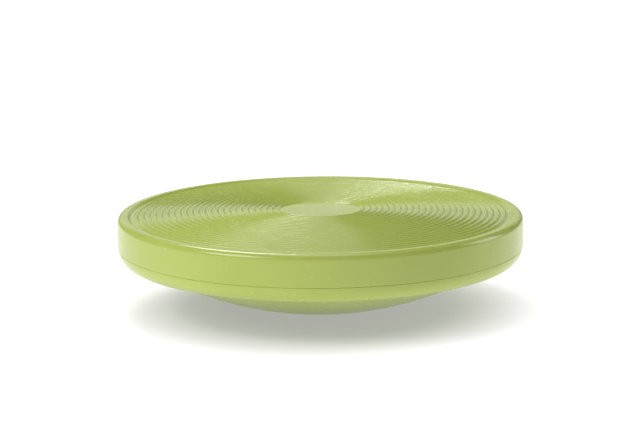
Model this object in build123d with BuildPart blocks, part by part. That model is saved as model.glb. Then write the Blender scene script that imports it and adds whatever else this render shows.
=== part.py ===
"""Balance board: a hollow round board of two moulded shells that rocks on a shallow dome.

Millimetres, +Z up. The origin is where the dome touches the floor, on the board's axis.
"""

import os
from math import asin, cos, degrees, radians, sqrt, tan

from build123d import *

# Overall sizes
board_diameter = 400.0
rim_height = 94.5
seam_height = 63.1
wall = 3.0

# Rim of the top shell
rim_width = 10.0
rim_edge_radius = 6.0
rim_inner_edge_radius = 0.8
rim_slope_width = 2.8
rim_corner_radius = 3.0

# Deck: a flat middle above the rim, then a tangent arc down to the channel inside the rim
deck_rise = 2.9
deck_flat_radius = 68.0
channel_depth = 2.8
channel_width = 2.5
channel_corner_radius = 1.0

# Concentric grip ridges around a smooth disc
smooth_disc_radius = 39.3
ridge_pitch = 6.05
ridge_height = 1.75
ridge_flank_angle = 42.0
ridge_lean = 0.2

# Seam: the bottom shell is a little smaller, and its tongue stands inside the top shell's wall
seam_inset = 0.6
seam_chamfer = 0.5
tongue_height = 5.0
tongue_thickness = 2.0
tongue_clearance = 0.3
tongue_rib_clearance = 1.2

# Bottom shell: a quarter turn under to a flat ring, and the dome inside it
turn_radius = 16.2
flat_ring_width = 13.1
dome_base_fillet = 1.5

# Stiffening ribs, hub and rings, which meet at the seam plane
rib_count = 16
rib_thickness = 2.2
hub_radius = 45.0
ring_radii = [132.0, 88.0, hub_radius]

# Self-tapping pan-head screws
thread_diameter = 4.2
thread_core_diameter = 3.1
thread_pitch = 1.4
thread_width = 0.84
head_diameter = 8.0
head_height = 3.1
head_crown_diameter = 5.0
head_crown_height = 1.5
recess_span = 4.4
recess_width = 1.1
recess_depth = 1.8
screw_tip_length = 2.4
seat_thickness = 4.0

# Screw wells, bosses and holes
rim_screw_count = 8
centre_screw_count = 4
centre_screw_radius = 25.0
thread_share = 0.55
pilot_clearance = 0.05
pilot_extra_depth = 2.0
shank_clearance = 0.4
well_clearance = 0.8
well_wall = 2.4
boss_wall = 3.0

# Soft floor pad, flush in the dome, with pegs that close the centre wells
pad_radius = 38.0
pad_thickness = 3.0
pad_side_clearance = 0.3
pad_glue_gap = 0.2
peg_clearance = 0.15
peg_length = 14.0
peg_chamfer = 1.0

outer_radius = board_diameter / 2
top_inner_radius = outer_radius - wall
rim_inner_radius = outer_radius - rim_width
channel_radius = rim_inner_radius - rim_slope_width

deck_height = rim_height + deck_rise
deck_drop = deck_rise + channel_depth
deck_arc_radius = ((channel_radius - deck_flat_radius) ** 2 + deck_drop**2) / (2 * deck_drop)
ridge_count = int((channel_radius - channel_width - smooth_disc_radius) / ridge_pitch)
# A ridge is drawn with sharp crests and valleys, which overshoot, and then rounded back to its height
flank_slope = tan(radians(ridge_flank_angle))
overshoot_per_rounding = 1 / cos(radians(ridge_flank_angle)) - 1
ridge_rounding = (ridge_pitch / 2 * flank_slope - ridge_height) / (2 * overshoot_per_rounding)
ridge_overshoot = ridge_rounding * overshoot_per_rounding

tongue_outer_radius = top_inner_radius - tongue_clearance
tongue_inner_radius = tongue_outer_radius - tongue_thickness
lower_radius = outer_radius - seam_inset
flat_ring_height = seam_height - turn_radius
flat_ring_outer_radius = lower_radius - turn_radius
dome_base_radius = flat_ring_outer_radius - flat_ring_width
dome_radius = (dome_base_radius**2 + flat_ring_height**2) / (2 * flat_ring_height)
inner_turn_radius = tongue_inner_radius - flat_ring_outer_radius
pocket_radius = pad_radius + pad_side_clearance
pocket_depth = pad_thickness + pad_glue_gap

rim_screw_radius = flat_ring_outer_radius - flat_ring_width / 2
screw_seat_height = seam_height - seat_thickness
boss_radius = thread_diameter / 2 + boss_wall
well_radius = head_diameter / 2 + well_clearance
well_tube_radius = well_radius + well_wall


def deck_surface(radius):
    """Height of the deck's smooth face, which the ridges stand on."""
    beyond = max(radius - deck_flat_radius, 0)
    return deck_height - deck_arc_radius + sqrt(deck_arc_radius**2 - beyond**2)


def dome_surface(radius, depth=0.0):
    """Height of the dome's outer face, or of a face that lies depth inside it."""
    return dome_radius - sqrt((dome_radius - depth) ** 2 - radius**2)


def dome_arc(depth, inner_radius, end_radius):
    """The dome's section from one distance off the axis to another, depth inside its outer face."""
    radius = dome_radius - depth
    start_angle = degrees(asin(inner_radius / radius))
    end_angle = degrees(asin(end_radius / radius))
    CenterArc((0, dome_radius), radius, start_angle - 90, end_angle - start_angle)


def corner(section, point):
    """The corner of a section that lies nearest to a point."""
    return section.vertices().sort_by_distance(point)[0]


def rib_grid(low, high):
    """The ribs, the rings and the cross in the hub, as one tall solid between two heights."""
    rib_length = outer_radius - hub_radius
    with BuildPart() as grid:
        with BuildSketch(Plane.XY.offset(low)):
            for radius in ring_radii:
                Circle(radius + rib_thickness / 2)
                Circle(radius - rib_thickness / 2, mode=Mode.SUBTRACT)
            with PolarLocations(hub_radius + rib_length / 2, rib_count):
                Rectangle(rib_length, rib_thickness)
            Rectangle(2 * hub_radius, rib_thickness)
            Rectangle(rib_thickness, 2 * hub_radius)
        extrude(amount=high - low)
    return grid.part


# Bosses in the top shell: the radius of their circle, their number, their top and the thread's depth
rim_boss_top = deck_surface(rim_screw_radius + boss_radius) - wall / 2
centre_boss_top = deck_height - wall / 2
rim_thread_depth = thread_share * (rim_boss_top - seam_height)
centre_thread_depth = thread_share * (centre_boss_top - seam_height)
boss_circles = [
    (rim_screw_radius, rim_screw_count, rim_boss_top, rim_thread_depth),
    (centre_screw_radius, centre_screw_count, centre_boss_top, centre_thread_depth),
]

# Screw wells in the bottom shell: the radius of their circle, their number and the foot of their tubes
rim_tube_foot = flat_ring_height + wall / 2
centre_tube_foot = dome_surface(centre_screw_radius + well_tube_radius, pocket_depth)
well_circles = [
    (rim_screw_radius, rim_screw_count, rim_tube_foot),
    (centre_screw_radius, centre_screw_count, centre_tube_foot),
]


# The hollow of the top shell, with its ribs left out
top_ribs = rib_grid(seam_height, deck_height)
with BuildPart() as top_hollow:
    with BuildSketch(Plane.XZ) as top_hollow_section:
        underside_middle = deck_height - wall
        arc_angle = degrees(asin((top_inner_radius - deck_flat_radius) / deck_arc_radius))
        with BuildLine():
            arc_centre = (deck_flat_radius, underside_middle - deck_arc_radius)
            underside = CenterArc(arc_centre, deck_arc_radius, 90, -arc_angle)
            outer_corner = underside @ 1
            Polyline(
                underside @ 0,
                (0, underside_middle),
                (0, seam_height),
                (top_inner_radius, seam_height),
                outer_corner,
            )
        make_face()
        fillet(corner(top_hollow_section, outer_corner), rim_corner_radius)
    revolve(axis=Axis.Z)
    add(top_ribs, mode=Mode.SUBTRACT)

with BuildPart() as top_shell:
    with BuildSketch(Plane.XZ) as top_section:
        ridges = [(0, deck_height), (smooth_disc_radius, deck_height)]
        for ridge in range(ridge_count):
            inner_foot = smooth_disc_radius + ridge * ridge_pitch
            middle = inner_foot + ridge_pitch / 2
            outer_foot = inner_foot + ridge_pitch
            ridges.append((middle - ridge_lean, deck_surface(middle) + ridge_height + ridge_overshoot))
            ridges.append((outer_foot, deck_surface(outer_foot) - ridge_overshoot))
        ridges[-1] = (outer_foot, deck_surface(outer_foot))
        ridges.append((channel_radius, deck_surface(channel_radius)))
        with BuildLine():
            Line((0, seam_height), (0, deck_height))
            FilletPolyline(*ridges, radius=ridge_rounding)
            Polyline(
                (channel_radius, deck_surface(channel_radius)),
                (rim_inner_radius, rim_height),
                (outer_radius, rim_height),
                (outer_radius, seam_height),
                (0, seam_height),
            )
        make_face()
        fillet(corner(top_section, (outer_radius, rim_height)), rim_edge_radius)
        fillet(corner(top_section, (rim_inner_radius, rim_height)), rim_inner_edge_radius)
        fillet(corner(top_section, (channel_radius, deck_surface(channel_radius))), channel_corner_radius)
        chamfer(corner(top_section, (outer_radius, seam_height)), seam_chamfer)
    revolve(axis=Axis.Z)
    add(top_hollow.part, mode=Mode.SUBTRACT)
    # Room for the bottom shell's tongue in the outer ends of the ribs
    with BuildSketch(Plane.XY.offset(seam_height)):
        Circle(top_inner_radius)
        Circle(tongue_inner_radius - tongue_rib_clearance, mode=Mode.SUBTRACT)
    extrude(amount=tongue_height + tongue_rib_clearance, mode=Mode.SUBTRACT)
    for circle_radius, count, boss_top, thread_depth in boss_circles:
        with BuildSketch(Plane.XY.offset(seam_height)):
            with PolarLocations(circle_radius, count):
                Circle(boss_radius)
        extrude(amount=boss_top - seam_height)
        with BuildSketch(Plane.XY.offset(seam_height)):
            with PolarLocations(circle_radius, count):
                Circle(thread_diameter / 2 + pilot_clearance)
        extrude(amount=thread_depth + pilot_extra_depth, mode=Mode.SUBTRACT)

# The hollow of the bottom shell, with its ribs left out
bottom_ribs = rib_grid(0, seam_height)
with BuildPart() as bottom_hollow:
    with BuildSketch(Plane.XZ):
        seat_radius = pocket_radius + wall
        seat_depth = pocket_depth + wall
        inner_ring_height = flat_ring_height + wall
        inner_base_radius = sqrt((dome_radius - wall) ** 2 - (dome_radius - inner_ring_height) ** 2)
        turn_centre = (flat_ring_outer_radius, inner_ring_height + inner_turn_radius)
        with BuildLine():
            dome_arc(seat_depth, 0, seat_radius)
            Line(
                (seat_radius, dome_surface(seat_radius, seat_depth)),
                (seat_radius, dome_surface(seat_radius, wall)),
            )
            dome_arc(wall, seat_radius, inner_base_radius)
            Line((inner_base_radius, inner_ring_height), (flat_ring_outer_radius, inner_ring_height))
            CenterArc(turn_centre, inner_turn_radius, -90, 90)
            Polyline(
                (tongue_inner_radius, inner_ring_height + inner_turn_radius),
                (tongue_inner_radius, seam_height),
                (0, seam_height),
                (0, seat_depth),
            )
        make_face()
    revolve(axis=Axis.Z)
    add(bottom_ribs, mode=Mode.SUBTRACT)

with BuildPart() as bottom_shell:
    with BuildSketch(Plane.XZ) as bottom_section:
        with BuildLine():
            dome_arc(0, 0, dome_base_radius)
            Line((dome_base_radius, flat_ring_height), (flat_ring_outer_radius, flat_ring_height))
            CenterArc((flat_ring_outer_radius, seam_height), turn_radius, -90, 90)
            Polyline((lower_radius, seam_height), (0, seam_height), (0, 0))
        make_face()
        fillet(corner(bottom_section, (dome_base_radius, flat_ring_height)), dome_base_fillet)
        chamfer(corner(bottom_section, (lower_radius, seam_height)), seam_chamfer)
    revolve(axis=Axis.Z)
    with BuildSketch(Plane.XY.offset(seam_height)):
        Circle(tongue_outer_radius)
        Circle(tongue_inner_radius, mode=Mode.SUBTRACT)
    extrude(amount=tongue_height)
    add(bottom_hollow.part, mode=Mode.SUBTRACT)
    for circle_radius, count, tube_foot in well_circles:
        with BuildSketch(Plane.XY.offset(tube_foot)):
            with PolarLocations(circle_radius, count):
                Circle(well_tube_radius)
        extrude(amount=seam_height - tube_foot)
        with BuildSketch(Plane.XY):
            with PolarLocations(circle_radius, count):
                Circle(well_radius)
        extrude(amount=screw_seat_height, mode=Mode.SUBTRACT)
        with BuildSketch(Plane.XY.offset(screw_seat_height)):
            with PolarLocations(circle_radius, count):
                Circle(thread_diameter / 2 + shank_clearance)
        extrude(amount=seat_thickness, mode=Mode.SUBTRACT)
    # The pocket that the floor pad lies in
    with BuildSketch(Plane.XZ):
        with BuildLine():
            dome_arc(pocket_depth, 0, pocket_radius)
            Polyline(
                (pocket_radius, dome_surface(pocket_radius, pocket_depth)),
                (pocket_radius, -wall),
                (0, -wall),
                (0, pocket_depth),
            )
        make_face()
    revolve(axis=Axis.Z, mode=Mode.SUBTRACT)


def pan_head_screw(length):
    """A screw on the Z axis, point up, its head's bearing face at Z = 0."""
    thread_radius = thread_diameter / 2
    core_radius = thread_core_diameter / 2
    half_thread = thread_width / 2
    point_start = length - screw_tip_length
    turns = int(point_start / thread_pitch) - 1
    outline = [
        (0, -head_height),
        (head_crown_diameter / 2, -head_height),
        (head_diameter / 2, head_crown_height - head_height),
        (head_diameter / 2, 0),
        (core_radius, 0),
    ]
    for turn in range(1, turns + 1):
        crest_height = turn * thread_pitch
        outline.append((core_radius, crest_height - half_thread))
        outline.append((thread_radius, crest_height))
        outline.append((core_radius, crest_height + half_thread))
    outline += [(core_radius, point_start), (0, length)]
    with BuildPart() as screw:
        with BuildSketch(Plane.XZ):
            with BuildLine():
                Polyline(*outline, close=True)
            make_face()
        revolve(axis=Axis.Z)
        with BuildSketch(Plane.XY.offset(-head_height)):
            Rectangle(recess_span, recess_width)
            Rectangle(recess_width, recess_span)
        extrude(amount=recess_depth, mode=Mode.SUBTRACT)
    return screw.part


rim_screw = pan_head_screw(seat_thickness + rim_thread_depth)
with BuildPart() as rim_screws:
    with Locations((0, 0, screw_seat_height)):
        with PolarLocations(rim_screw_radius, rim_screw_count):
            add(rim_screw)

centre_screw = pan_head_screw(seat_thickness + centre_thread_depth)
with BuildPart() as centre_screws:
    with Locations((0, 0, screw_seat_height)):
        with PolarLocations(centre_screw_radius, centre_screw_count):
            add(centre_screw)

with BuildPart() as floor_pad:
    with BuildSketch(Plane.XZ):
        with BuildLine():
            dome_arc(0, 0, pad_radius)
            Line(
                (pad_radius, dome_surface(pad_radius)),
                (pad_radius, dome_surface(pad_radius, pad_thickness)),
            )
            dome_arc(pad_thickness, 0, pad_radius)
            Line((0, pad_thickness), (0, 0))
        make_face()
    revolve(axis=Axis.Z)
    peg_foot = pad_thickness / 2
    with BuildSketch(Plane.XY.offset(peg_foot)):
        with PolarLocations(centre_screw_radius, centre_screw_count):
            Circle(well_radius - peg_clearance)
    extrude(amount=pad_thickness + peg_length - peg_foot)
    chamfer(floor_pad.faces().filter_by(Axis.Z).sort_by(Axis.Z)[-centre_screw_count:].edges(), peg_chamfer)

os.makedirs("parts", exist_ok=True)
pieces = {
    "top_shell": top_shell,
    "bottom_shell": bottom_shell,
    "rim_screws": rim_screws,
    "centre_screws": centre_screws,
    "floor_pad": floor_pad,
}
for name, piece in pieces.items():
    piece.part.label = name
    export_step(piece.part, f"parts/{name}.step")
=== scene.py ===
"""Balance board: moulded shells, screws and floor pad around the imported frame, in metres."""

from math import acos, asin, atan2, ceil, cos, pi, radians, sin, sqrt, tan

import bmesh
import bpy
from mathutils import Euler, Matrix, Vector


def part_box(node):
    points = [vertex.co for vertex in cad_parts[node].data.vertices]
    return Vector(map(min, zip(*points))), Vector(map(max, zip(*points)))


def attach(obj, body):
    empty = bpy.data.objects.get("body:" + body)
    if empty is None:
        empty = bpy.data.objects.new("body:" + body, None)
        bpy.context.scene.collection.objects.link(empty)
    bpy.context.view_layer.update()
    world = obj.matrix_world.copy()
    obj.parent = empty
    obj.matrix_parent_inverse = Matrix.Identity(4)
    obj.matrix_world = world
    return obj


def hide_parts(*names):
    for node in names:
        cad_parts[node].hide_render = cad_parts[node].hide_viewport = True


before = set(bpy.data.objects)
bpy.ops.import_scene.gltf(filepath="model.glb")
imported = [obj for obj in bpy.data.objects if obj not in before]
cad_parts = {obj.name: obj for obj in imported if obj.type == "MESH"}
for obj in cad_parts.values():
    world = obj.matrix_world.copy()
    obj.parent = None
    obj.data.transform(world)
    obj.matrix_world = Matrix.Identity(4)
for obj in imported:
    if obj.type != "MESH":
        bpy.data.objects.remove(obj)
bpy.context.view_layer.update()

MM = 0.001
SEGMENTS = 256  # round the board
HOLE_SEGMENTS = 40
ON_AXIS = 0.0001 * MM  # a point of a section nearer the axis than this is a pole
CORNER_STEP = radians(14)  # along a rounded corner of a section
DECK_STEP = radians(0.5)
DOME_STEP = radians(1.2)
TURN_STEP = radians(5)
INNER_TURN_STEP = radians(8)
DISC_STEPS = 4  # from the axis to the edge of the smooth disc
SHARP_ANGLE = radians(34)  # an edge that turns more than this is shaded sharp

# Sizes, as the CAD has them
RIM_HEIGHT = 94.5 * MM
WALL = 3 * MM
RIM_WIDTH = 10 * MM
RIM_EDGE_RADIUS = 6 * MM
RIM_INNER_EDGE_RADIUS = 0.8 * MM
RIM_SLOPE_WIDTH = 2.8 * MM
RIM_CORNER_RADIUS = 3 * MM
DECK_RISE = 2.9 * MM
DECK_FLAT_RADIUS = 68 * MM
CHANNEL_DEPTH = 2.8 * MM
CHANNEL_WIDTH = 2.5 * MM
CHANNEL_CORNER_RADIUS = 1 * MM
SMOOTH_DISC_RADIUS = 39.3 * MM
RIDGE_PITCH = 6.05 * MM
RIDGE_HEIGHT = 1.75 * MM
RIDGE_FLANK = radians(42)
RIDGE_LEAN = 0.2 * MM
SEAM_INSET = 0.6 * MM
SEAM_EDGE = 0.5 * MM
TONGUE_HEIGHT = 5 * MM
TONGUE_THICKNESS = 2 * MM
TONGUE_CLEARANCE = 0.3 * MM
TONGUE_RIB_CLEARANCE = 1.2 * MM
TURN_RADIUS = 16.2 * MM
FLAT_RING_WIDTH = 13.1 * MM
DOME_BASE_FILLET = 1.5 * MM
RIB_COUNT = 16
RIB_THICKNESS = 2.2 * MM
HUB_RADIUS = 45 * MM
RING_RADII = [88 * MM, 132 * MM]
THREAD_DIAMETER = 4.2 * MM
HEAD_DIAMETER = 8 * MM
SEAT_THICKNESS = 4 * MM
RIM_SCREW_COUNT = 8
CENTRE_SCREW_COUNT = 4
CENTRE_SCREW_RADIUS = 25 * MM
THREAD_SHARE = 0.55  # how much of a boss's height the thread reaches into
PILOT_CLEARANCE = 0.05 * MM
PILOT_EXTRA_DEPTH = 2 * MM
SHANK_CLEARANCE = 0.4 * MM
WELL_CLEARANCE = 0.8 * MM
WELL_WALL = 2.4 * MM
BOSS_WALL = 3 * MM
PAD_RADIUS = 38 * MM
PAD_THICKNESS = 3 * MM
PAD_SIDE_CLEARANCE = 0.3 * MM
PAD_GLUE_GAP = 0.2 * MM
PEG_CLEARANCE = 0.15 * MM
PEG_LENGTH = 14 * MM
PEG_TIP_CHAMFER = 1 * MM

# The grip grooves in the pad's face and the roundings of its edges
PAD_EDGE_RADIUS = 0.6 * MM
GROOVE_PITCH = 4.2 * MM
GROOVE_WIDTH = 1.2 * MM
GROOVE_DEPTH = 0.7 * MM
GROOVE_FLOOR_SHARE = 0.6  # of the groove's width, at its floor
GROOVE_EDGE_RADIUS = 0.2 * MM
FIRST_GROOVE_RADIUS = 6 * MM

# Places that follow from the frame and the sizes above
top_low, top_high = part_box("top_shell")
outer_radius = round(top_high.x / MM) * MM
seam_height = top_low.z
deck_height = RIM_HEIGHT + DECK_RISE

top_inner_radius = outer_radius - WALL
rim_inner_radius = outer_radius - RIM_WIDTH
channel_radius = rim_inner_radius - RIM_SLOPE_WIDTH
deck_drop = DECK_RISE + CHANNEL_DEPTH
deck_arc_radius = ((channel_radius - DECK_FLAT_RADIUS) ** 2 + deck_drop**2) / (2 * deck_drop)
ridge_count = int((channel_radius - CHANNEL_WIDTH - SMOOTH_DISC_RADIUS) / RIDGE_PITCH)
overshoot_per_rounding = 1 / cos(RIDGE_FLANK) - 1
ridge_rounding = (RIDGE_PITCH / 2 * tan(RIDGE_FLANK) - RIDGE_HEIGHT) / (2 * overshoot_per_rounding)
ridge_overshoot = ridge_rounding * overshoot_per_rounding

tongue_outer_radius = top_inner_radius - TONGUE_CLEARANCE
tongue_inner_radius = tongue_outer_radius - TONGUE_THICKNESS
lower_radius = outer_radius - SEAM_INSET
flat_ring_height = seam_height - TURN_RADIUS
flat_ring_outer_radius = lower_radius - TURN_RADIUS
dome_base_radius = flat_ring_outer_radius - FLAT_RING_WIDTH
dome_radius = (dome_base_radius**2 + flat_ring_height**2) / (2 * flat_ring_height)
inner_turn_radius = tongue_inner_radius - flat_ring_outer_radius
pocket_radius = PAD_RADIUS + PAD_SIDE_CLEARANCE
pocket_depth = PAD_THICKNESS + PAD_GLUE_GAP
rim_screw_radius = flat_ring_outer_radius - FLAT_RING_WIDTH / 2
screw_seat_height = seam_height - SEAT_THICKNESS
boss_radius = THREAD_DIAMETER / 2 + BOSS_WALL
well_radius = HEAD_DIAMETER / 2 + WELL_CLEARANCE
well_tube_radius = well_radius + WELL_WALL


def deck_surface(radius):
    """Height of the deck's smooth face, which the ridges stand on."""
    beyond = max(radius - DECK_FLAT_RADIUS, 0)
    return deck_height - deck_arc_radius + sqrt(deck_arc_radius**2 - beyond**2)


def dome_surface(radius, depth=0.0):
    """Height of the dome's outer face, or of a face that lies depth inside it."""
    return dome_radius - sqrt((dome_radius - depth) ** 2 - radius**2)


rim_boss_top = deck_surface(rim_screw_radius + boss_radius) - WALL / 2
centre_boss_top = deck_height - WALL / 2
centre_tube_foot = dome_surface(CENTRE_SCREW_RADIUS + well_tube_radius, pocket_depth)
BOSS_CIRCLES = [
    # radius, count, boss top
    (rim_screw_radius, RIM_SCREW_COUNT, rim_boss_top),
    (CENTRE_SCREW_RADIUS, CENTRE_SCREW_COUNT, centre_boss_top),
]
WELL_CIRCLES = [
    # radius, count, foot of the tube round the well
    (rim_screw_radius, RIM_SCREW_COUNT, flat_ring_height + WALL / 2),
    (CENTRE_SCREW_RADIUS, CENTRE_SCREW_COUNT, centre_tube_foot),
]


# Sections ---------------------------------------------------------------------------------------


def rounded(corners):
    """Points along an open path whose corners (x, z, radius) are rounded by arcs."""
    path = []
    for index, (x, z, radius) in enumerate(corners):
        here = Vector((x, z))
        if radius == 0 or index in (0, len(corners) - 1):
            path.append(here)
            continue
        back = (Vector(corners[index - 1][:2]) - here).normalized()
        on = (Vector(corners[index + 1][:2]) - here).normalized()
        half_angle = acos(max(-1.0, min(1.0, back.dot(on)))) / 2
        centre = here + (back + on).normalized() * (radius / sin(half_angle))
        reach = radius / tan(half_angle)
        start = here + back * reach - centre
        end = here + on * reach - centre
        turn = atan2(start.x * end.y - start.y * end.x, start.dot(end))
        count = max(1, ceil(abs(turn) / CORNER_STEP))
        for piece in range(count + 1):
            angle = turn * piece / count
            x_now = start.x * cos(angle) - start.y * sin(angle)
            z_now = start.x * sin(angle) + start.y * cos(angle)
            path.append(centre + Vector((x_now, z_now)))
    return [(point.x, point.y) for point in path]


def arc(centre_x, centre_z, radius, start, end, step):
    """Points on an arc between two angles, both ends in."""
    count = max(1, ceil(abs(end - start) / step))
    angles = [start + (end - start) * piece / count for piece in range(count + 1)]
    return [(centre_x + radius * cos(a), centre_z + radius * sin(a)) for a in angles]


def dome_path(depth, inner_radius, end_radius):
    """The dome's section between two distances off the axis, depth inside its outer face."""
    radius = dome_radius - depth
    start = asin(inner_radius / radius) - pi / 2
    end = asin(end_radius / radius) - pi / 2
    return arc(0, dome_radius, radius, start, end, DOME_STEP)


def ridged_corners():
    """Corners of the deck's section, from its middle out past the last ridge."""
    corners = [(0, deck_height, 0)]
    for step in range(1, DISC_STEPS):
        corners.append((SMOOTH_DISC_RADIUS * step / DISC_STEPS, deck_height, 0))
    corners.append((SMOOTH_DISC_RADIUS, deck_height, ridge_rounding))
    for ridge in range(ridge_count):
        middle = SMOOTH_DISC_RADIUS + (ridge + 0.5) * RIDGE_PITCH
        outer_foot = middle + RIDGE_PITCH / 2
        crest = deck_surface(middle) + RIDGE_HEIGHT + ridge_overshoot
        corners.append((middle - RIDGE_LEAN, crest, ridge_rounding))
        valley = deck_surface(outer_foot)
        if ridge < ridge_count - 1:
            valley -= ridge_overshoot
        corners.append((outer_foot, valley, ridge_rounding))
    return corners


def top_outer_path():
    """From the middle of the deck over the rim and down the wall to the seam."""
    corners = ridged_corners()
    corners.append((channel_radius, deck_surface(channel_radius), CHANNEL_CORNER_RADIUS))
    corners.append((rim_inner_radius, RIM_HEIGHT, RIM_INNER_EDGE_RADIUS))
    corners.append((outer_radius, RIM_HEIGHT, RIM_EDGE_RADIUS))
    corners.append((outer_radius, seam_height + SEAM_EDGE, 0))
    corners.append((outer_radius - SEAM_EDGE, seam_height, 0))
    return rounded(corners)


def underside_path(depth, end_radius):
    """The deck's underside, depth under its smooth face, from the axis out to a radius."""
    end = pi / 2 - asin((end_radius - DECK_FLAT_RADIUS) / deck_arc_radius)
    centre_z = deck_height - deck_arc_radius - depth
    out = arc(DECK_FLAT_RADIUS, centre_z, deck_arc_radius, pi / 2, end, DECK_STEP)
    return [(0, deck_height - depth)] + out


def bottom_outer_path():
    """From the dome's pole over the flat ring and round the turn to the seam."""
    dome = dome_path(0, 0, dome_base_radius)
    base = (dome_base_radius, flat_ring_height, DOME_BASE_FILLET)
    ring_edge = (flat_ring_outer_radius, flat_ring_height, 0)
    path = dome[:-1] + rounded([(*dome[-2], 0), base, ring_edge])[1:]
    turn = arc(flat_ring_outer_radius, seam_height, TURN_RADIUS, -pi / 2, 0, TURN_STEP)
    path += turn[1:-1]
    path += [(lower_radius, seam_height - SEAM_EDGE), (lower_radius - SEAM_EDGE, seam_height)]
    return path


# Solids -----------------------------------------------------------------------------------------


def mesh_object(name, vertices, faces):
    mesh = bpy.data.meshes.new(name)
    mesh.from_pydata(vertices, [], faces)
    made = bpy.data.objects.new(name, mesh)
    bpy.context.scene.collection.objects.link(made)
    return made


def lathe(name, outline, segments=SEGMENTS):
    """A solid of revolution from a closed outline; points on the axis become poles."""
    vertices, rows = [], []
    for radius, height in outline:
        if radius < ON_AXIS:
            rows.append([len(vertices)])
            vertices.append((0, 0, height))
            continue
        rows.append(list(range(len(vertices), len(vertices) + segments)))
        for turn in range(segments):
            angle = 2 * pi * turn / segments
            vertices.append((radius * cos(angle), radius * sin(angle), height))
    faces = []
    for here, after in zip(rows, rows[1:] + rows[:1]):
        if len(here) == 1 and len(after) == 1:
            continue
        for turn in range(segments):
            following = (turn + 1) % segments
            ring = [here[turn % len(here)], here[following % len(here)]]
            ring += [after[following % len(after)], after[turn % len(after)]]
            faces.append(tuple(dict.fromkeys(ring)))
    made = mesh_object(name, vertices, faces)
    outward(made)
    return made


def outward(made):
    """Turn all faces outwards."""
    work = bmesh.new()
    work.from_mesh(made.data)
    bmesh.ops.recalc_face_normals(work, faces=work.faces)
    work.to_mesh(made.data)
    work.free()


def column(radius, low, high, centre=(0, 0), segments=HOLE_SEGMENTS):
    """A round column between two heights."""
    made = lathe("column", [(0, low), (radius, low), (radius, high), (0, high)], segments)
    made.data.transform(Matrix.Translation((*centre, 0)))
    return made


def tube(inner, outer, low, high):
    """A ring with a rectangular section."""
    return lathe("tube", [(inner, low), (outer, low), (outer, high), (inner, high)])


def block(length, width, low, high, middle=0.0, angle=0.0):
    """An upright plate whose middle lies out along a direction."""
    made = mesh_object("block", [], [])
    work = bmesh.new()
    bmesh.ops.create_cube(work, size=1.0)
    scale = Matrix.Diagonal((length, width, high - low, 1))
    shift = Matrix.Translation((middle, 0, (low + high) / 2))
    turn = Matrix.Rotation(angle, 4, "Z")
    bmesh.ops.transform(work, matrix=turn @ shift @ scale, verts=work.verts)
    work.to_mesh(made.data)
    work.free()
    return made


def combine(target, operand, operation):
    """Join, cut or keep the overlap of two solids; the second is used up."""
    step = target.modifiers.new("combine", "BOOLEAN")
    step.object = operand
    step.operation = operation
    step.solver = "MANIFOLD"
    graph = bpy.context.evaluated_depsgraph_get()
    graph.update()
    result = bpy.data.meshes.new_from_object(target.evaluated_get(graph))
    target.modifiers.clear()
    target.data = result
    bpy.data.objects.remove(operand)


def circle_places(radius, count):
    """Places evenly round the axis, the first on +X."""
    angles = [2 * pi * n / count for n in range(count)]
    return [(radius * cos(angle), radius * sin(angle)) for angle in angles]


def rib_grid(low, high, outline):
    """Ribs, rings and the hub's cross between two heights, cut to a solid of revolution."""
    half = RIB_THICKNESS / 2
    grid = tube(HUB_RADIUS - half, HUB_RADIUS + half, low, high)
    for radius in RING_RADII:
        combine(grid, tube(radius - half, radius + half, low, high), "UNION")
    length = outer_radius - HUB_RADIUS
    middle = HUB_RADIUS + length / 2
    for rib in range(RIB_COUNT):
        angle = 2 * pi * rib / RIB_COUNT
        combine(grid, block(length, RIB_THICKNESS, low, high, middle, angle), "UNION")
    for angle in (0, pi / 2):
        combine(grid, block(2 * HUB_RADIUS, RIB_THICKNESS, low, high, 0, angle), "UNION")
    combine(grid, lathe("limit", outline), "INTERSECT")
    return grid


def smooth(made):
    """Shade smoothly, except over sharp edges."""
    made.data.shade_smooth()
    made.data.set_sharp_from_angle(angle=SHARP_ANGLE)


def make_top_shell():
    """Deck, rim and outer wall, with the ribs and the screws' bosses inside."""
    inner = underside_path(WALL, top_inner_radius)
    wall_foot = (top_inner_radius, seam_height, 0)
    inner = inner[:-2] + rounded([(*inner[-2], 0), (*inner[-1], RIM_CORNER_RADIUS), wall_foot])
    shell = lathe("top_shell_visual", top_outer_path() + inner[::-1])
    limit = underside_path(WALL / 2, top_inner_radius + WALL / 2)
    limit += [(top_inner_radius + WALL / 2, seam_height), (0, seam_height)]
    ribs = rib_grid(seam_height - WALL, deck_height, limit)
    recess_inner_radius = tongue_inner_radius - TONGUE_RIB_CLEARANCE
    recess_top = seam_height + TONGUE_HEIGHT + TONGUE_RIB_CLEARANCE
    tongue_recess = tube(recess_inner_radius, outer_radius, seam_height - WALL, recess_top)
    combine(ribs, tongue_recess, "DIFFERENCE")
    combine(shell, ribs, "UNION")
    pilot_radius = THREAD_DIAMETER / 2 + PILOT_CLEARANCE
    for radius, count, boss_top in BOSS_CIRCLES:
        pilot_top = seam_height + THREAD_SHARE * (boss_top - seam_height) + PILOT_EXTRA_DEPTH
        for place in circle_places(radius, count):
            combine(shell, column(boss_radius, seam_height, boss_top, place), "UNION")
            pilot = column(pilot_radius, seam_height - WALL, pilot_top, place)
            combine(shell, pilot, "DIFFERENCE")
    smooth(shell)
    return shell


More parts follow.
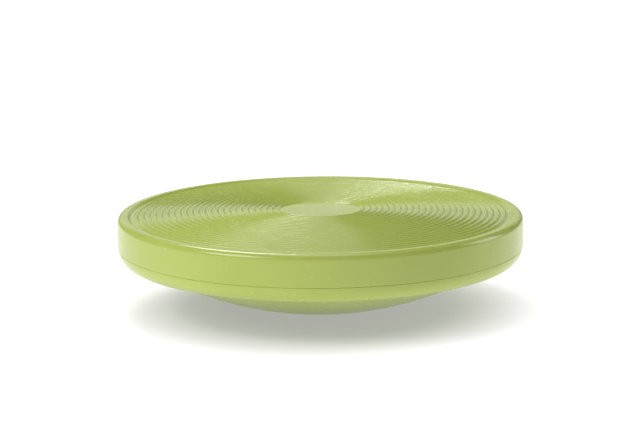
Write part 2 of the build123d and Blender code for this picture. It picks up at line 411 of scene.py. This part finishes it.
def make_bottom_shell():
    """Dome, flat ring, turn and tongue, with the ribs and the screws' wells inside."""
    seat_radius = pocket_radius + WALL
    seat_depth = pocket_depth + WALL
    inner_ring_height = flat_ring_height + WALL
    inner_base_radius = sqrt((dome_radius - WALL) ** 2 - (dome_radius - inner_ring_height) ** 2)
    inner = dome_path(seat_depth, 0, seat_radius)
    inner += dome_path(WALL, seat_radius, inner_base_radius)
    turn_height = inner_ring_height + inner_turn_radius
    quarter = (-pi / 2, 0, INNER_TURN_STEP)
    inner += arc(flat_ring_outer_radius, turn_height, inner_turn_radius, *quarter)
    tongue = [
        (tongue_outer_radius, seam_height),
        (tongue_outer_radius, seam_height + TONGUE_HEIGHT),
        (tongue_inner_radius, seam_height + TONGUE_HEIGHT),
    ]
    shell = lathe("bottom_shell_visual", bottom_outer_path() + tongue + inner[::-1])
    limit = dome_path(seat_depth - WALL / 2, 0, seat_radius)
    limit += dome_path(WALL / 2, seat_radius, inner_base_radius)
    limit += arc(flat_ring_outer_radius, turn_height, inner_turn_radius + WALL / 2, *quarter)
    limit += [(tongue_inner_radius + WALL / 2, seam_height), (0, seam_height)]
    combine(shell, rib_grid(0, seam_height + WALL, limit), "UNION")
    shank_hole_radius = THREAD_DIAMETER / 2 + SHANK_CLEARANCE
    for radius, count, tube_foot in WELL_CIRCLES:
        for place in circle_places(radius, count):
            combine(shell, column(well_tube_radius, tube_foot, seam_height, place), "UNION")
            combine(shell, column(well_radius, -WALL, screw_seat_height, place), "DIFFERENCE")
            shank_hole = column(shank_hole_radius, 0, seam_height + WALL, place)
            combine(shell, shank_hole, "DIFFERENCE")
    pocket = dome_path(pocket_depth, 0, pocket_radius) + [(pocket_radius, -WALL), (0, -WALL)]
    combine(shell, lathe("pocket", pocket), "DIFFERENCE")
    smooth(shell)
    return shell


def pad_face():
    """The pad's face inside its first groove, and the corners of its section from there on."""
    face = dome_path(0, 0, FIRST_GROOVE_RADIUS - GROOVE_WIDTH)
    corners = [(*face[-1], 0)]
    groove_band = PAD_RADIUS - FIRST_GROOVE_RADIUS - GROOVE_PITCH / 2
    for groove in range(int(groove_band / GROOVE_PITCH) + 1):
        middle = FIRST_GROOVE_RADIUS + groove * GROOVE_PITCH
        for side, depth in (
            (-1, 0),
            (-GROOVE_FLOOR_SHARE, GROOVE_DEPTH),
            (GROOVE_FLOOR_SHARE, GROOVE_DEPTH),
            (1, 0),
        ):
            radius = middle + side * GROOVE_WIDTH / 2
            corners.append((radius, dome_surface(radius) + depth, GROOVE_EDGE_RADIUS))
    corners.append((PAD_RADIUS, dome_surface(PAD_RADIUS), PAD_EDGE_RADIUS))
    corners.append((PAD_RADIUS, dome_surface(PAD_RADIUS, PAD_THICKNESS), 0))
    return face[:-1], corners


def make_floor_pad():
    """The soft pad: fine grip grooves in its face, and four pegs on its back."""
    middle, corners = pad_face()
    back = dome_path(PAD_THICKNESS, 0, PAD_RADIUS)
    pad = lathe("floor_pad_visual", middle + rounded(corners) + back[-2::-1])
    peg_radius = well_radius - PEG_CLEARANCE
    peg_foot = PAD_THICKNESS / 2
    peg_top = PAD_THICKNESS + PEG_LENGTH
    peg_outline = [
        (0, peg_foot),
        (peg_radius, peg_foot),
        (peg_radius, peg_top - PEG_TIP_CHAMFER),
        (peg_radius - PEG_TIP_CHAMFER, peg_top),
        (0, peg_top),
    ]
    for place in circle_places(CENTRE_SCREW_RADIUS, CENTRE_SCREW_COUNT):
        peg = lathe("peg", peg_outline, HOLE_SEGMENTS)
        peg.data.transform(Matrix.Translation((*place, 0)))
        combine(pad, peg, "UNION")
    smooth(pad)
    return pad


# Materials --------------------------------------------------------------------------------------

# A noise is its scale, to the metre, and its detail. A bump is its strength and its depth.
NOISE_SPREAD = (0.3, 0.7)  # where most of a noise's values lie
FULL = (0, 1)

LIME_PALE = (0.445, 0.53, 0.112)
LIME_DEEP = (0.425, 0.51, 0.098)
LIME_SCUFFED = (0.49, 0.57, 0.17)
LIME_CLOUDS = (11.0, 2.0)
LIME_ROUGHNESS = (0.22, 0.28)
LIME_SHEEN_CLOUDS = (45.0, 2.0)
LIME_GRAIN = (620.0, 1.0)
LIME_GRAIN_BUMP = (0.08, 0.06 * MM)
LIME_WAVES = (26.0, 1.0)
LIME_WAVES_BUMP = (0.08, 0.6 * MM)
LIME_IOR = 1.5
SCUFF_SPOTS = (34.0, 2.0)
SCUFF_SPOT_EDGE = (0.56, 0.74)
SCUFF_RUBBING = (150.0, 1.0)
SCUFF_RUBBING_EDGE = (0.4, 0.7)
SCUFF_STRENGTH = (0.1, 0.5)
SCUFF_ROUGHNESS = 0.25  # added at a full scuff
DECK_WEAR = (80 * MM, 95 * MM)  # heights at which scuffs begin and are full
DOME_WEAR = (14 * MM, 0)

RUBBER_DARK = (0.045, 0.05, 0.045)
RUBBER_PALE = (0.085, 0.09, 0.08)
RUBBER_CLOUDS = (60.0, 4.0)
RUBBER_CLOUD_EDGE = (0.35, 0.65)
RUBBER_ROUGHNESS = (0.62, 0.85)
RUBBER_SHEEN_CLOUDS = (220.0, 3.0)
RUBBER_GRAIN = (1400.0, 3.0)
RUBBER_GRAIN_BUMP = (0.35, 0.08 * MM)

STEEL_DARK = (0.55, 0.56, 0.58)
STEEL_PALE = (0.72, 0.73, 0.74)
STEEL_LINES = (260.0, 4.0)
STEEL_LINES_STRETCH = (1.0, 1.0, 14.0)  # fine along the screw, so they run round it
STEEL_LINES_BUMP = (0.15, 0.03 * MM)
STEEL_ROUGHNESS = (0.24, 0.42)
STEEL_SHEEN_CLOUDS = (900.0, 2.0)

FLOOR_DARK = (0.29, 0.29, 0.29)
FLOOR_PALE = (0.31, 0.31, 0.31)
FLOOR_CLOUDS = (1.5, 2.0)
FLOOR_ROUGHNESS = (0.85, 0.95)
FLOOR_PAINTED_SHADOW_REACH = (0.12, 0.25)  # metres from the axis, over which the painted shadow round the board gives way to the full glow
FLOOR_GLOW_AND_PAINTED_SHADOW = (0.36, 1.0)  # emission strength nearer and further than that; the dimmer near glow is a painted shadow round the board


class Shader:
    """A new material with short calls for its nodes."""

    def __init__(self, name):
        self.material = bpy.data.materials.new(name)
        self.material.use_nodes = True
        self.tree = self.material.node_tree
        self.tree.nodes.clear()
        self.surface = self.node("ShaderNodeBsdfPrincipled")
        output = self.node("ShaderNodeOutputMaterial")
        self.link(self.surface.outputs[0], output.inputs[0])
        self.place = self.node("ShaderNodeTexCoord").outputs["Object"]

    def node(self, kind, **settings):
        made = self.tree.nodes.new(kind)
        for key, value in settings.items():
            setattr(made, key, value)
        return made

    def link(self, source, target):
        self.tree.links.new(source, target)

    def noise(self, scale, detail, place=None):
        made = self.node("ShaderNodeTexNoise")
        made.inputs["Scale"].default_value = scale
        made.inputs["Detail"].default_value = detail
        self.link(place or self.place, made.inputs["Vector"])
        return made.outputs["Fac"]

    def remap(self, value, source, target, smooth=False):
        """Stretch a value from one range onto another."""
        made = self.node("ShaderNodeMapRange")
        if smooth:
            made.interpolation_type = "SMOOTHSTEP"
        for key, number in zip(("From Min", "From Max", "To Min", "To Max"), source + target):
            made.inputs[key].default_value = number
        self.link(value, made.inputs["Value"])
        return made.outputs["Result"]

    def maths(self, operation, first, second):
        """Combine two values, of which the second may be a number."""
        made = self.node("ShaderNodeMath", operation=operation)
        self.link(first, made.inputs[0])
        if isinstance(second, float):
            made.inputs[1].default_value = second
        else:
            self.link(second, made.inputs[1])
        return made.outputs[0]

    def mix(self, share, first, second):
        """Mix a colour, or the output of another mix, with a second colour."""
        made = self.node("ShaderNodeMix", data_type="RGBA")
        self.link(share, made.inputs["Factor"])
        sockets = {i.name: i for i in made.inputs if i.type == "RGBA"}
        if isinstance(first, tuple):
            sockets["A"].default_value = (*first, 1)
        else:
            self.link(first, sockets["A"])
        sockets["B"].default_value = (*second, 1)
        return next(o for o in made.outputs if o.type == "RGBA")

    def bump(self, height, strength, depth, under=None):
        made = self.node("ShaderNodeBump")
        made.inputs["Strength"].default_value = strength
        made.inputs["Distance"].default_value = depth
        self.link(height, made.inputs["Height"])
        if under is not None:
            self.link(under, made.inputs["Normal"])
        return made.outputs["Normal"]

    def set(self, name, value):
        """Give an input of the surface a number or colour, or link it to a node's output."""
        socket = self.surface.inputs[name]
        if isinstance(value, (float, tuple)):
            socket.default_value = value
        else:
            self.link(value, socket)


def moulded_plastic(name, wear):
    """Lime plastic: cloudy colour, soft mould waves, and scuffs that grow between two heights."""
    s = Shader(name)
    parts = s.node("ShaderNodeSeparateXYZ")
    s.link(s.place, parts.inputs[0])
    worn = s.remap(parts.outputs["Z"], wear, FULL, smooth=True)
    spots = s.remap(s.noise(*SCUFF_SPOTS), SCUFF_SPOT_EDGE, FULL, smooth=True)
    rubbed = s.remap(s.noise(*SCUFF_RUBBING), SCUFF_RUBBING_EDGE, SCUFF_STRENGTH, smooth=True)
    scuffs = s.maths("MULTIPLY", s.maths("MULTIPLY", spots, worn), rubbed)
    cloud = s.remap(s.noise(*LIME_CLOUDS), NOISE_SPREAD, FULL, smooth=True)
    s.set("Base Color", s.mix(scuffs, s.mix(cloud, LIME_DEEP, LIME_PALE), LIME_SCUFFED))
    sheen = s.remap(s.noise(*LIME_SHEEN_CLOUDS), NOISE_SPREAD, LIME_ROUGHNESS)
    s.set("Roughness", s.maths("ADD", sheen, s.maths("MULTIPLY", scuffs, SCUFF_ROUGHNESS)))
    grain = s.bump(s.noise(*LIME_GRAIN), *LIME_GRAIN_BUMP)
    s.set("Normal", s.bump(s.noise(*LIME_WAVES), *LIME_WAVES_BUMP, under=grain))
    s.set("IOR", LIME_IOR)
    return s.material


def soft_rubber(name):
    """Dark rubber with a cloudy colour and a matt grain."""
    s = Shader(name)
    cloud = s.remap(s.noise(*RUBBER_CLOUDS), RUBBER_CLOUD_EDGE, FULL)
    s.set("Base Color", s.mix(cloud, RUBBER_DARK, RUBBER_PALE))
    sheen = s.remap(s.noise(*RUBBER_SHEEN_CLOUDS), NOISE_SPREAD, RUBBER_ROUGHNESS)
    s.set("Roughness", sheen)
    s.set("Normal", s.bump(s.noise(*RUBBER_GRAIN), *RUBBER_GRAIN_BUMP))
    return s.material


def plated_steel(name):
    """Zinc-plated steel with fine turned lines."""
    s = Shader(name)
    stretch = s.node("ShaderNodeMapping")
    stretch.inputs["Scale"].default_value = STEEL_LINES_STRETCH
    s.link(s.place, stretch.inputs["Vector"])
    lines = s.noise(*STEEL_LINES, place=stretch.outputs[0])
    s.set("Base Color", s.mix(s.remap(lines, NOISE_SPREAD, FULL), STEEL_DARK, STEEL_PALE))
    sheen = s.remap(s.noise(*STEEL_SHEEN_CLOUDS), NOISE_SPREAD, STEEL_ROUGHNESS)
    s.set("Roughness", sheen)
    s.set("Normal", s.bump(lines, *STEEL_LINES_BUMP))
    s.set("Metallic", 1.0)
    return s.material


def pale_floor(name):
    """White floor that glows: its emission paints the floor's light, dimmer near the board as a
    painted shadow and fuller away from it.
    """
    s = Shader(name)
    cloud = s.noise(*FLOOR_CLOUDS)
    s.set("Base Color", s.mix(s.remap(cloud, NOISE_SPREAD, FULL), FLOOR_DARK, FLOOR_PALE))
    s.set("Roughness", s.remap(cloud, NOISE_SPREAD, FLOOR_ROUGHNESS))
    s.set("Specular IOR Level", 0.0)
    # Painted shadow: the emission is weaker near the axis, so the floor round the board looks
    # shaded; this glow also lights the board's underside.
    distance = s.node("ShaderNodeVectorMath", operation="LENGTH")
    s.link(s.place, distance.inputs[0])
    s.set("Emission Color", (1, 1, 1, 1))
    painted_shadow_glow = s.remap(distance.outputs["Value"], FLOOR_PAINTED_SHADOW_REACH, FLOOR_GLOW_AND_PAINTED_SHADOW, smooth=True)
    s.set("Emission Strength", painted_shadow_glow)
    return s.material


def paint(made, material):
    """Give a new mesh one material."""
    made.data.materials.clear()
    made.data.materials.append(material)


# The object -------------------------------------------------------------------------------------

for make, node, finish in (
    (make_top_shell, "top_shell", moulded_plastic("top_plastic", DECK_WEAR)),
    (make_bottom_shell, "bottom_shell", moulded_plastic("bottom_plastic", DOME_WEAR)),
    (make_floor_pad, "floor_pad", soft_rubber("pad_rubber_look")),
):
    piece = make()
    paint(piece, finish)
    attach(piece, "root")
    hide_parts(node)

steel = plated_steel("screw_steel_look")
for node in ("rim_screws", "centre_screws"):
    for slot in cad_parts[node].material_slots:
        slot.material = steel


# The stage --------------------------------------------------------------------------------------

FLOOR_REACH = 9.0
LIGHT_AIM = Vector((0, 0, 80 * MM))
WORLD_STRENGTH = 0.06
SOFTBOXES = [
    # name, azimuth, elevation, distance, size, power
    ("key", 23, 54, 2.6, (0.8, 0.8), 32),
    ("top", 0, 88, 2.6, (1.4, 1.4), 14),
    ("left_front", 127, 34, 3.0, (1.4, 1.2), 50),
    ("right", -72, 20, 3.0, (1.2, 1.6), 24),
    ("back", 0, 14, 3.0, (3.0, 0.8), 6),
]

VIEW_AIM = Vector((0, 0, 99.92 * MM))
VIEW_ELEVATION = radians(11.213)
VIEW_DISTANCE = 2.8628
VIEW_ROLL = radians(-0.482)
VIEW_SHIFT = (-0.0003, -0.0062)
VIEW_REACH = 50.0
LENS = 163.25
SENSOR_WIDTH = 36.0


def softbox(name, azimuth, elevation, distance, size, power):
    """An area light; azimuth 0 is behind the board as the camera sees it, 90 is to its left."""
    lamp = bpy.data.lights.new(name, "AREA")
    lamp.shape = "RECTANGLE"
    lamp.size, lamp.size_y = size
    lamp.energy = power
    made = bpy.data.objects.new(name, lamp)
    bpy.context.scene.collection.objects.link(made)
    a, e = radians(azimuth), radians(elevation)
    away = Vector((-sin(a) * cos(e), cos(a) * cos(e), sin(e)))
    made.location = LIGHT_AIM + away * distance
    made.rotation_mode = "QUATERNION"
    made.rotation_quaternion = away.to_track_quat("Z", "Y")


r = FLOOR_REACH
floor = mesh_object("floor", [(-r, -r, 0), (r, -r, 0), (r, r, 0), (-r, r, 0)], [(0, 1, 2, 3)])
# The floor's material glows, with a painted shadow round the board.
paint(floor, pale_floor("floor_white_painted_shadow"))

for setup in SOFTBOXES:
    softbox(*setup)

world = bpy.data.worlds.new("studio")
world.use_nodes = True
background = world.node_tree.nodes["Background"]
background.inputs["Color"].default_value = (1, 1, 1, 1)
background.inputs["Strength"].default_value = WORLD_STRENGTH
bpy.context.scene.world = world
bpy.context.scene.view_settings.view_transform = "Standard"

camera_data = bpy.data.cameras.new("camera")
camera_data.sensor_width = SENSOR_WIDTH
camera_data.lens = LENS
camera_data.shift_x, camera_data.shift_y = VIEW_SHIFT
camera_data.clip_end = VIEW_REACH
camera = bpy.data.objects.new("camera", camera_data)
bpy.context.scene.collection.objects.link(camera)
away = Vector((0, -cos(VIEW_ELEVATION), sin(VIEW_ELEVATION)))
camera.location = VIEW_AIM + away * VIEW_DISTANCE
camera.rotation_mode = "QUATERNION"
roll = Euler((0, 0, VIEW_ROLL)).to_quaternion()
camera.rotation_quaternion = away.to_track_quat("Z", "Y") @ roll
bpy.context.scene.camera = camera
